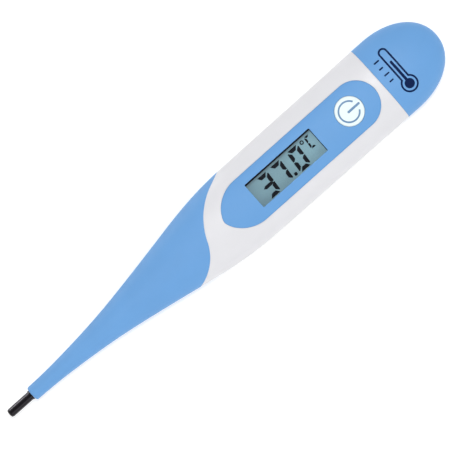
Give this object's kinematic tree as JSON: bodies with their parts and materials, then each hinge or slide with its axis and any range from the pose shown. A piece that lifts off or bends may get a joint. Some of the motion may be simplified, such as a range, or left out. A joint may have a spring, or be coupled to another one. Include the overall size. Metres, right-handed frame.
{
  "type": "digital thermometer",
  "caption": "Slim digital thermometer with a soft flexible nose, metal probe tip, display window, round power button and pull-off battery cap.",
  "frame": {"origin": "under the middle of the length, on the surface that the back lies on", "axes": "+X from the probe towards the battery cap, +Y towards the upper edge of the display as it is read, +Z out of the display"},
  "size_m": [0.139, 0.0214, 0.0124],
  "materials": {
    "white_shell": "satin",
    "soft_skin": "matte",
    "blue_panel": "satin",
    "blue_cap": "satin",
    "clear_lens": "polished",
    "dark_gasket": "matte",
    "white_button": "satin",
    "tip_metal": "polished",
    "bead_glass": "gloss",
    "potting": "matte",
    "lead_insulation": "gloss",
    "sleeve": "matte",
    "switch_stem": "matte",
    "switch_case": "matte",
    "spring_metal": "polished",
    "carrier_plastic": "matte",
    "holder_plastic": "matte",
    "board": "satin",
    "reflector_film": "satin",
    "display_glass": "polished",
    "polariser_film": "gloss",
    "elastomer": "matte",
    "chip_resin": "gloss",
    "resistor_body": "matte",
    "capacitor_body": "matte",
    "sounder_brass": "satin",
    "sounder_ceramic": "matte",
    "cell_steel": "polished",
    "seal_rubber": "matte"
  },
  "bodies": {
    "housing": {"housing_shell": "white_shell", "nose_rear": "soft_skin", "display_panel": "blue_panel", "window_lens": "clear_lens", "lens_gasket": "dark_gasket", "lead_sleeve_rear": "sleeve", "lead_wires_rear": "lead_insulation"},
    "nose_tip": {"nose_front": "soft_skin", "metal_tip": "tip_metal", "thermistor_bead": "bead_glass", "tip_potting": "potting", "lead_wires_front": "lead_insulation", "lead_sleeve_front": "sleeve"},
    "button": {"button_cap": "white_button"},
    "switch_plunger": {"switch_plunger": "switch_stem"},
    "carrier": {"carrier_frame": "carrier_plastic", "circuit_board": "board", "lcd_holder": "holder_plastic", "lcd_reflector": "reflector_film", "lcd_rear_glass": "display_glass", "lcd_front_glass": "display_glass", "lcd_polariser": "polariser_film", "zebra_connector": "elastomer", "chip_blob": "chip_resin", "chip_resistors": "resistor_body", "chip_capacitors": "capacitor_body", "switch_body": "switch_case", "switch_terminals": "spring_metal", "switch_dome": "spring_metal", "sounder_plate": "sounder_brass", "sounder_ceramic": "sounder_ceramic", "sounder_wires": "lead_insulation", "battery_cell": "cell_steel", "positive_contact": "spring_metal", "negative_contact": "spring_metal"},
    "cap": {"battery_cap": "blue_cap", "cap_seal": "seal_rubber"}
  },
  "joints": [
    {"name": "nose_flex", "type": "hinge", "parent": "housing", "child": "nose_tip", "pos_m": [-0.043, 0, 0.0061], "axis": [0, 1, 0], "range_deg": [-40, 40], "stiffness_Nm_per_rad": 0.03},
    {"name": "button_press", "type": "slide", "parent": "housing", "child": "button", "axis": [0, 0, -1], "range_m": [0, 0.00045], "stiffness_N_per_m": 3000},
    {"name": "carrier_slide", "type": "slide", "parent": "housing", "child": "carrier", "axis": [1, 0, 0], "range_m": [0, 0.01], "deforming": ["lead_wires_rear"]},
    {"name": "plunger_travel", "type": "slide", "parent": "carrier", "child": "switch_plunger", "axis": [0, 0, -1], "range_m": [0, 0.0004], "deforming": ["switch_dome"]},
    {"name": "cap_pull", "type": "slide", "parent": "carrier", "child": "cap", "axis": [1, 0, 0], "range_m": [0, 0.025]}
  ],
  "couplings": [
    {"joint": "plunger_travel", "follows": "button_press", "ratio": 0.88}
  ]
}
